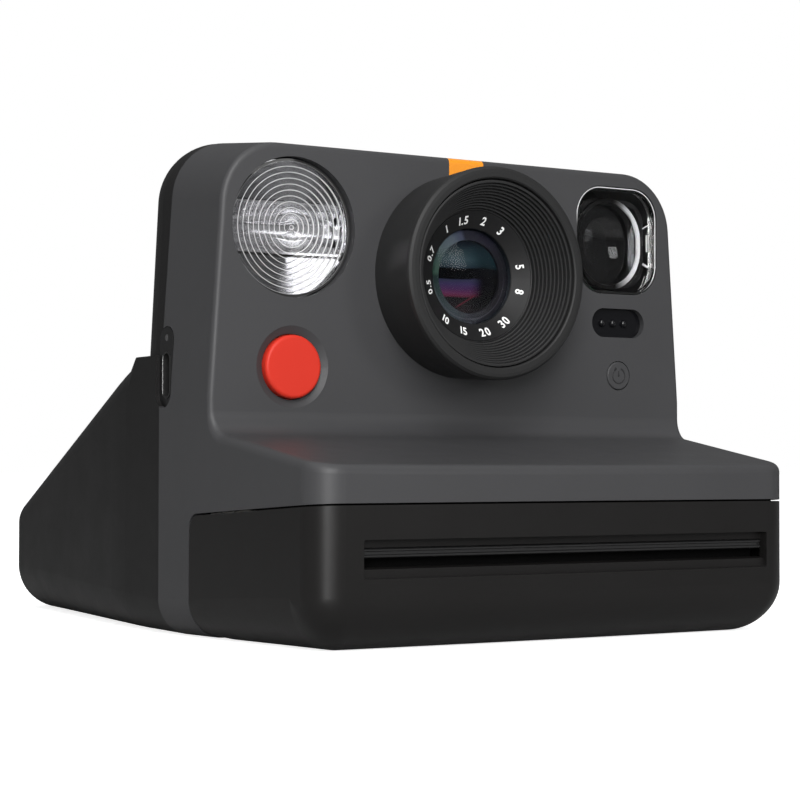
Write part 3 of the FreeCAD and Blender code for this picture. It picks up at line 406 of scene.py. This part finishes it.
M = Mat("rear_glass_painted_reflection")
lx, lz = lens_xy(M)
wob = M.noise(7.0, 2.0)
# painted reflection: the coating's reflections painted into the colour, dark grey at the bottom, magenta and violet
# low, a black band across the middle, teal above, darker on the right half
v = M.math("ADD", M.range(lz, -0.0070, 0.0070, 0, 1), M.range(wob, 0.2, 0.8, -0.02, 0.02, clamp=False))
K = 0.80
left = M.ramp(v, [(0.0, lin((56, 46, 50), K)), (0.14, lin((44, 40, 42), K)), (0.21, lin((34, 36, 37), K)), (0.235, lin((108, 46, 66), K)), (0.27, lin((110, 52, 88), K)), (0.33, lin((82, 48, 92), K)),
                  (0.40, lin((68, 58, 98), K)), (0.455, lin((58, 60, 84), K)), (0.470, lin((12, 12, 16), K)), (0.60, lin((8, 9, 12), K)), (0.615, lin((38, 52, 64), K)), (0.72, lin((60, 80, 88), K)),
                  (0.82, lin((48, 66, 72), K)), (0.92, lin((32, 42, 52), K)), (1.0, lin((24, 30, 40), K))])
right = M.ramp(v, [(0.0, lin((42, 40, 44), K)), (0.16, lin((26, 27, 28), K)), (0.25, lin((15, 14, 18), K)), (0.45, lin((17, 16, 21), K)), (0.60, lin((18, 20, 25), K)), (0.63, lin((28, 46, 52), K)),
                   (0.72, lin((35, 56, 62), K)), (0.82, lin((33, 50, 58), K)), (1.0, lin((26, 32, 40), K))])
tone = M.mix(M.range(M.math("ADD", lx, M.math("MULTIPLY", M.math("ABSOLUTE", lz), 0.12)), -0.0005, 0.0034, 0, 1, smooth=True), left, right)
# painted reflection: a red streak low on the left
streak = M.math("SUBTRACT", lz, M.math("ADD", M.math("MULTIPLY", lx, 0.62), -0.0042))
streak = M.math("MULTIPLY", M.range(M.math("ABSOLUTE", streak), 0.0, 0.00035, 1, 0, smooth=True), M.math("MULTIPLY", M.range(lx, -0.0030, -0.0022, 0, 1), M.range(lx, 0.0006, 0.0014, 1, 0)))
tone = M.mix(M.math("MULTIPLY", streak, 0.7), tone, (0.17, 0.020, 0.035))
M.set(Base_Color=tone, Roughness=0.25, Specular_IOR_Level=0.03)
M.bump((wob, 0.02, 0.01))
use(M, "lens_rear_element")


# ------------------------------------------------------------------ new detail pieces
def obj_from_bmesh(name, bm, M, body):
    bmesh.ops.recalc_face_normals(bm, faces=bm.faces)
    me = bpy.data.meshes.new(name)
    bm.to_mesh(me)
    bm.free()
    o = bpy.data.objects.new(name, me)
    scene.collection.objects.link(o)
    me.materials.append(M.m)
    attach(o, body)
    return o


def ribbon(bm, pts, w, place, h=0.05, closed=False):
    """a raised line of width w (mm) through the plane points pts, each turned into space by place(u, v, height)"""
    n = len(pts)
    rings = []
    for i, (u, v) in enumerate(pts):
        a = pts[i - 1] if (closed or i) else pts[i]
        b = pts[(i + 1) % n] if (closed or i < n - 1) else pts[i]
        du, dv = b[0] - a[0], b[1] - a[1]
        L = math.hypot(du, dv) or 1.0
        nx, nz = -dv / L * w / 2, du / L * w / 2
        k = 0.72
        ring = [(u + nx, v + nz, 0.0), (u + nx, v + nz, h * 0.6), (u + nx * k, v + nz * k, h), (u - nx * k, v - nz * k, h), (u - nx, v - nz, h * 0.6), (u - nx, v - nz, 0.0)]
        rings.append([bm.verts.new(place(*q)) for q in ring])
    m_ = len(rings[0])
    for i in range(n if closed else n - 1):
        p, q = rings[i], rings[(i + 1) % n]
        for k in range(m_):
            bm.faces.new((p[k], p[(k + 1) % m_], q[(k + 1) % m_], q[k]))
    if not closed:
        bm.faces.new(rings[0])
        bm.faces.new(list(reversed(rings[-1])))


def arc(cx, cy, r, a0, a1, n=40):
    return [(cx + r * math.cos(math.radians(a0 + (a1 - a0) * i / n)), cy + r * math.sin(math.radians(a0 + (a1 - a0) * i / n))) for i in range(n + 1)]


# printed distance scale on the lens ring
ink = moulded("scale_ink", (0.86, 0.86, 0.85), rough=0.5, spec=0.4, grain=0.15, bump=0.1, var=0.04, speck=0.02)


def cone_y(r_mm):
    return -44.45 + (12.6 - r_mm) * (1.8 / 3.2)


def glyphs(bm, text, mid_deg, size, r_base, inward=False, gap=1.0):
    """characters set round the lens axis; mid_deg is the clock angle of the middle of the word"""
    cu = bpy.data.curves.new("t", "FONT")
    cu.size = size
    cu.offset = size * 0.022
    cu.resolution_u = 3
    advs, meshes = [], []
    for ch in text:
        if ch == " ":
            advs.append(size * 0.35)
            meshes.append(None)
            continue
        cu.body = ch
        ob = bpy.data.objects.new("t", cu)
        scene.collection.objects.link(ob)
        dg = bpy.context.evaluated_depsgraph_get()
        me = bpy.data.meshes.new_from_object(ob.evaluated_get(dg))
        xs = [v.co.x for v in me.vertices]
        w = max(xs) - min(xs)
        advs.append(w + size * 0.14 * gap)
        meshes.append((me, (max(xs) + min(xs)) / 2))
        bpy.data.objects.remove(ob)
    total = sum(advs)
    s = -total / 2
    for adv, item in zip(advs, meshes):
        mid = s + adv / 2
        s += adv
        if item is None:
            continue
        me, cx0 = item
        r_mid = r_base + (-size * 0.36 if inward else size * 0.36)
        ang = math.radians(mid_deg) + (-(mid) if inward else mid) / r_mid
        rad = Vector((math.sin(ang), math.cos(ang)))
        tan = Vector((math.cos(ang), -math.sin(ang)))
        if inward:
            rad_u, tan_u = -rad, -tan
        else:
            rad_u, tan_u = rad, tan
        tmp = bmesh.new()
        tmp.from_mesh(me)
        bmesh.ops.triangulate(tmp, faces=tmp.faces)
        index = {}
        tops = {}
        bots = {}
        for v in tmp.verts:
            p = rad * r_base + tan_u * (v.co.x - cx0) + rad_u * v.co.y
            r_ = p.length
            y_ = cone_y(r_)
            tops[v.index] = bm.verts.new((p.x * MM, (y_ - 0.035) * MM, (68.5 + p.y) * MM))
            bots[v.index] = bm.verts.new((p.x * MM, (y_ + 0.02) * MM, (68.5 + p.y) * MM))
        for f in tmp.faces:
            bm.faces.new([tops[v.index] for v in f.verts])
            bm.faces.new([bots[v.index] for v in reversed(f.verts)])
        for e in tmp.edges:
            if len(e.link_faces) == 1:
                a_, b_ = e.verts[0].index, e.verts[1].index
                bm.faces.new((tops[a_], tops[b_], bots[b_], bots[a_]))
        tmp.free()
        bpy.data.meshes.remove(me)
    bpy.data.curves.remove(cu)


bm = bmesh.new()
for txt, a in (("1", -37.0), ("1.5", -14.0), ("2", 11.0), ("3", 34.0)):
    glyphs(bm, txt, a, 2.1, 10.15)
for txt, a in (("0.5", -104.0), ("0.7", -70.0)):
    glyphs(bm, txt, a, 2.0, 10.2)
for txt, a in (("5", 78.0), ("8", 104.0)):
    glyphs(bm, txt, a, 2.0, 10.2)
for txt, a in (("10", 218.0), ("15", 194.0), ("20", 168.0), ("30", 142.0)):
    glyphs(bm, txt, a, 2.1, 11.75, inward=True)


def on_cone(u, v, h):
    r_ = math.hypot(u, v)
    return (u * MM, (cone_y(r_) - h) * MM, (68.5 + v) * MM)


obj_from_bmesh("lens_scale_print", bm, ink, "camera_body")

# raised self-timer symbol on its button
bm = bmesh.new()
lo_t, hi_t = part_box("timer_button")
ty = lo_t.y / MM


def on_timer(u, v, h):
    return ((39.0 + u) * MM, (ty - h + 0.01) * MM, (50.25 + v) * MM)


ribbon(bm, arc(0, 0, 1.55, 118, 430, 48), 0.26, on_timer, h=0.09)
ribbon(bm, [(0, 0), (0, 0.95)], 0.24, on_timer, h=0.09)
ribbon(bm, [(-0.95, 1.62), (-0.55, 1.38), (-0.98, 1.05)], 0.22, on_timer, h=0.09)
ribbon(bm, arc(0, 0, 0.12, 0, 324, 9), 0.2, on_timer, h=0.09, closed=True)
icon_mat = moulded("timer_symbol", (0.016, 0.016, 0.017), rough=0.4, spec=0.4, grain=0.15, bump=0.1)
obj_from_bmesh("timer_symbol", bm, icon_mat, "timer_button")

# power and flash symbols on the back buttons
lo_p, hi_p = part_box("power_button")
py = hi_p.y / MM


def on_power(u, v, h):
    return ((-33.5 - u) * MM, (py + h - 0.01) * MM, (70.0 + v) * MM)


bm = bmesh.new()
ribbon(bm, arc(0, 0, 1.7, 122, 418, 48), 0.36, on_power, h=0.06)
ribbon(bm, [(0, 0.55), (0, 2.0)], 0.36, on_power, h=0.06)
obj_from_bmesh("power_symbol", bm, ink, "power_button")
lo_f, hi_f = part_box("flash_button")
fy = hi_f.y / MM


def on_flash(u, v, h):
    return ((-16.5 - u) * MM, (fy + h - 0.01) * MM, (70.0 + v) * MM)


bm = bmesh.new()
ribbon(bm, [(0.55, 1.6), (-0.55, 0.05), (0.45, 0.05), (-0.5, -1.6)], 0.32, on_flash, h=0.06)
obj_from_bmesh("flash_symbol", bm, ink, "flash_button")

# seven-segment numeral behind the counter window
lo_c, hi_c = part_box("counter_window")
cy_ = hi_c.y / MM
M = Mat("segment_light")
gl = M.noise(0.6, 2.0)
M.set(Base_Color=M.mix(gl, (0.75, 0.16, 0.08), (0.85, 0.22, 0.12)), Roughness=0.4, Emission_Color=(0.9, 0.16, 0.08), Emission_Strength=0.35)


def on_counter(u, v, h):
    return ((4.0 - u) * MM, (cy_ + h - 0.005) * MM, (70.0 + v) * MM)


bm = bmesh.new()
a_, b_ = 1.05, 1.75
for p0, p1 in (((-a_ + 0.25, b_ * 1), (a_ - 0.25, b_)), ((-a_ + 0.25, 0), (a_ - 0.25, 0)), ((-a_ + 0.25, -b_), (a_ - 0.25, -b_)),
               ((-a_, 0.25), (-a_, b_ - 0.25)), ((a_, 0.25), (a_, b_ - 0.25)), ((-a_, -b_ + 0.25), (-a_, -0.25)), ((a_, -b_ + 0.25), (a_, -0.25))):
    ribbon(bm, [p0, ((p0[0] + p1[0]) / 2, (p0[1] + p1[1]) / 2), p1], 0.34, on_counter, h=0.02)
obj_from_bmesh("counter_numeral", bm, M, "camera_body")



# ------------------------------------------------------------------ viewfinder: polished rim, lip of the tunnel, clips, each with a painted highlight on one side
def rrect_pts(cx, cz, hw, hh, r, n=10):
    pts = []
    for sx, sz, a0 in ((1, 1, 0), (-1, 1, 90), (-1, -1, 180), (1, -1, 270)):
        for i in range(n + 1):
            t = math.radians(a0 + 90 * i / n)
            pts.append((cx + sx * (hw - r) + r * math.cos(t), cz + sz * (hh - r) + r * math.sin(t)))
    return pts


def on_y(y0):
    return lambda u, v, h: (u * MM, (y0 - h) * MM, v * MM)


def highlight_painted_plastic(name, dark, bright, key, a, b, rough=0.3, spec=0.5):
    """plastic coloured with a painted highlight on one side: dark to bright along key(x, y, z, M), which gives the
    coordinate in metres
    """
    M = Mat(name)
    x, y, z = M.xyz()
    n = M.noise(1.6, 2.0)
    f = M.range(key(x, y, z, M), a, b, 0, 1, smooth=True)
    M.set(Base_Color=M.mix(f, dark, M.mix(n, scaled(bright, 0.9), bright)), Roughness=M.range(n, 0.3, 0.7, rough - 0.05, rough + 0.05), Specular_IOR_Level=M.range(f, 0, 1, 0.1, spec))
    M.bump((n, 0.05, 0.005))
    return M


bm = bmesh.new()
ribbon(bm, rrect_pts(38.8, 77.9, 10.12, 10.72, 5.95), 0.20, on_y(-38.33), h=0.06, closed=True)
# painted highlight: the rim runs from black to light grey towards the top and right
rimM = highlight_painted_plastic("window_rim_painted_highlight", (0.015, 0.015, 0.015), (0.66, 0.66, 0.67), lambda x, y, z, M: M.math("MINIMUM", M.math("MAXIMUM", M.math("SUBTRACT", z, 0.080), M.math("SUBTRACT", x, 0.0450)), M.math("SUBTRACT", z, 0.0672)), 0.0, 0.0042)
obj_from_bmesh("viewfinder_rim_edge", bm, rimM, "camera_body")
bm = bmesh.new()
ribbon(bm, rrect_pts(37.9, 77.3, 7.95, 8.9, 7.9, 16), 1.0, on_y(-36.15), h=0.45, closed=True)
# painted highlight: the lip is light grey on its right side and black elsewhere
lipM = highlight_painted_plastic("tunnel_lip_painted_highlight", (0.008, 0.008, 0.008), (0.80, 0.80, 0.81), lambda x, y, z, M: M.math("SUBTRACT", x, M.math("MULTIPLY", M.math("ABSOLUTE", M.math("SUBTRACT", z, 0.0773)), 0.10)), 0.0385, 0.0445)
obj_from_bmesh("viewfinder_lip", bm, lipM, "camera_body")
bm = bmesh.new()
for xx in (48.15, 48.62, 49.02):
    ribbon(bm, [(xx, 76.2), (xx, 78.0), (xx, 79.7)], 0.26, on_y(-36.2), h=0.12)
ribbon(bm, [(47.1, 81.0), (48.0, 81.5), (48.9, 81.9)], 0.24, on_y(-36.2), h=0.12)
ribbon(bm, [(47.1, 73.7), (48.0, 73.3), (48.8, 73.0)], 0.50, on_y(-36.2), h=0.12)
ribbon(bm, [(46.9, 67.7), (48.0, 69.2), (48.7, 70.6), (49.0, 72.0)], 0.34, on_y(-36.2), h=0.12)
ribbon(bm, [(46.0, 67.9), (47.0, 69.6), (47.6, 71.2)], 0.14, on_y(-36.2), h=0.12)
# painted highlight: the clips grow lighter towards the right
clipM = highlight_painted_plastic("clips_painted_highlight", (0.55, 0.55, 0.55), (0.85, 0.85, 0.85), lambda x, y, z, M: x, 0.047, 0.049)
obj_from_bmesh("viewfinder_clips", bm, clipM, "camera_body")


# ------------------------------------------------------------------ dark liners behind the film slot and the door seam: near-black sheets as painted shade inside the slot and the seam gap
def strip(bm, pts, t, z0, z1):
    """a thin upright wall of thickness t along the plan points"""
    rings = []
    n = len(pts)
    for i, (u, v) in enumerate(pts):
        a, b = pts[max(0, i - 1)], pts[min(n - 1, i + 1)]
        du, dv = b[0] - a[0], b[1] - a[1]
        L = math.hypot(du, dv)
        nx, ny = -dv / L * t / 2, du / L * t / 2
        rings.append([bm.verts.new((q[0] * MM, q[1] * MM, q[2] * MM)) for q in ((u + nx, v + ny, z0), (u + nx, v + ny, z1), (u - nx, v - ny, z1), (u - nx, v - ny, z0))])
    for p, q in zip(rings, rings[1:]):
        for k in range(4):
            bm.faces.new((p[k], p[(k + 1) % 4], q[(k + 1) % 4], q[k]))
    bm.faces.new(rings[0])
    bm.faces.new(list(reversed(rings[-1])))


# painted shade: a near-black matt sheet that keeps the slot and the seam gap dark
shade_liner = moulded("liner_painted_shade", (0.004, 0.004, 0.004), rough=0.9, spec=0.05, grain=0.3, bump=0.3)
bm = bmesh.new()
strip(bm, [(-44.4, -69.4), (0.0, -69.4), (46.8, -69.4)], 0.3, 12.7, 16.0)
strip(bm, [(-44.4, -69.9), (0.0, -69.9), (46.8, -69.9)], 0.3, 17.9, 19.2)
obj_from_bmesh("slot_curtain", bm, shade_liner, "film_door")
bm = bmesh.new()
plan = [(-53.0, -35.0), (-53.0, -50.0), (-53.0, -65.0)] + [(-48.0 + 5.0 * math.cos(math.radians(a)), -66.5 + 5.0 * math.sin(math.radians(a))) for a in range(180, 271, 15)]
plan += [(-x_, y_) for x_, y_ in reversed(plan)]
strip(bm, plan, 0.4, 24.0, 26.6)
obj_from_bmesh("seam_liner", bm, shade_liner, "camera_body")

# ------------------------------------------------------------------ stage
bm = bmesh.new()
bmesh.ops.create_circle(bm, cap_ends=True, radius=6.0, segments=96)
me = bpy.data.meshes.new("floor")
bm.to_mesh(me)
bm.free()
floor = bpy.data.objects.new("floor", me)
floor.location = (0, 0, CAD_BOX[0][2] - 0.00005)
scene.collection.objects.link(floor)
M = Mat("floor_pale")
soft = M.noise(400.0, 2.0)
M.set(Base_Color=M.mix(soft, (0.90, 0.90, 0.90), (0.915, 0.915, 0.915)), Roughness=0.9, Specular_IOR_Level=0.1, Emission_Color=(1, 1, 1), Emission_Strength=0.80)
lp = M.new("ShaderNodeLightPath")
dim = M.new("ShaderNodeBsdfDiffuse")
dim.inputs[0].default_value = (0.42, 0.42, 0.42, 1)
mx = M.new("ShaderNodeMixShader")
M.link(lp.outputs["Is Camera Ray"], mx.inputs[0])
M.link(dim.outputs[0], mx.inputs[1])
M.link(M.p.outputs[0], mx.inputs[2])
M.link(mx.outputs[0], M.out.inputs[0])
me.materials.append(M.m)

world = bpy.data.worlds.new("studio")
scene.world = world
world.use_nodes = True
nt = world.node_tree
nt.nodes.clear()
wo = nt.nodes.new("ShaderNodeOutputWorld")
b1 = nt.nodes.new("ShaderNodeBackground")
b2 = nt.nodes.new("ShaderNodeBackground")
ms = nt.nodes.new("ShaderNodeMixShader")
lpw = nt.nodes.new("ShaderNodeLightPath")
b1.inputs[0].default_value = (0.98, 0.99, 1.0, 1)
b1.inputs[1].default_value = 0.165
b2.inputs[0].default_value = (1, 1, 1, 1)
b2.inputs[1].default_value = 1.0
nt.links.new(lpw.outputs["Is Camera Ray"], ms.inputs[0])
nt.links.new(b1.outputs[0], ms.inputs[1])
nt.links.new(b2.outputs[0], ms.inputs[2])
nt.links.new(ms.outputs[0], wo.inputs[0])


def area(name, loc, target, sx, sy, power, col=(1, 1, 1)):
    d = bpy.data.lights.new(name, "AREA")
    d.shape = "RECTANGLE"
    d.size, d.size_y = sx, sy
    d.energy = power
    d.color = col
    o = bpy.data.objects.new(name, d)
    scene.collection.objects.link(o)
    o.location = loc
    o.rotation_mode = "QUATERNION"
    o.rotation_quaternion = (Vector(target) - Vector(loc)).to_track_quat("-Z", "Y")
    return o


sun = bpy.data.lights.new("top_soft", "SUN")
sun.energy = 0.75
sun.angle = math.radians(70)
so = bpy.data.objects.new("top_soft", sun)
scene.collection.objects.link(so)
area("key_left", (-0.40, -0.76, 0.50), (0, -0.03, 0.05), 0.44, 0.90, 10.9)
area("low_left", (-0.69, -0.83, 0.11), (-0.05, -0.07, 0.03), 0.25, 0.20, 2.2)
area("side_left", (-1.05, 0.10, 0.35), (0, 0.02, 0.05), 0.35, 0.9, 0.25)
# a small panel on the right: seen through the flash lens ridges it fills the lower right quarter of the mirror
area("panel_right", (0.3866, -1.009, 0.361), (-0.037, -0.035, 0.076), 0.25, 0.27, 0.92)
